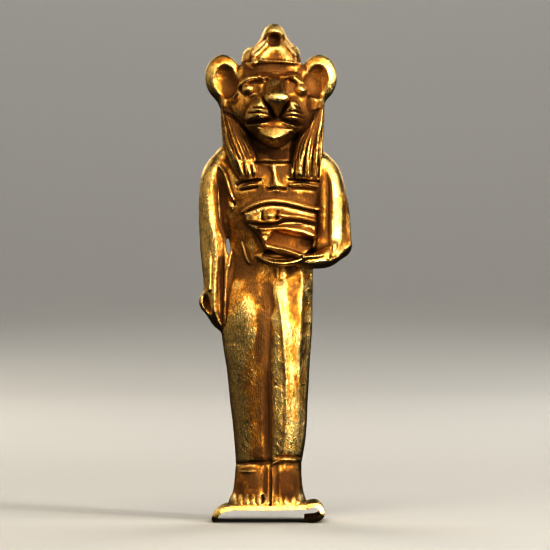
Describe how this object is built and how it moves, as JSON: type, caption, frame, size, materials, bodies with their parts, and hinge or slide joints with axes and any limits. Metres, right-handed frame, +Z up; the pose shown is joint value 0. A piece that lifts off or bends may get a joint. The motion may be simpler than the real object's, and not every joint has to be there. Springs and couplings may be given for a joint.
{
  "type": "sekhmet statue",
  "caption": "Small cast gold figure of a standing lioness-headed goddess holding an eye amulet, on a thin bent foot-plate.",
  "frame": {"origin": "on the surface that the foot-plate stands on, below the middle of the part's bounding box", "axes": "+Z up along the figure, the figure faces -Y, and +X is the viewer's right, on the side of the figure's bent left arm"},
  "size_m": [0.0154, 0.011, 0.05],
  "materials": {
    "cast_gold": "worn and polished cast gold with reddish-brown patina in the hollows",
    "sheet_gold": "worn hammered gold sheet, pitted and dark underneath"
  },
  "bodies": {
    "root": {"figure": "cast_gold", "foot_plate": "sheet_gold"}
  },
  "joints": []
}
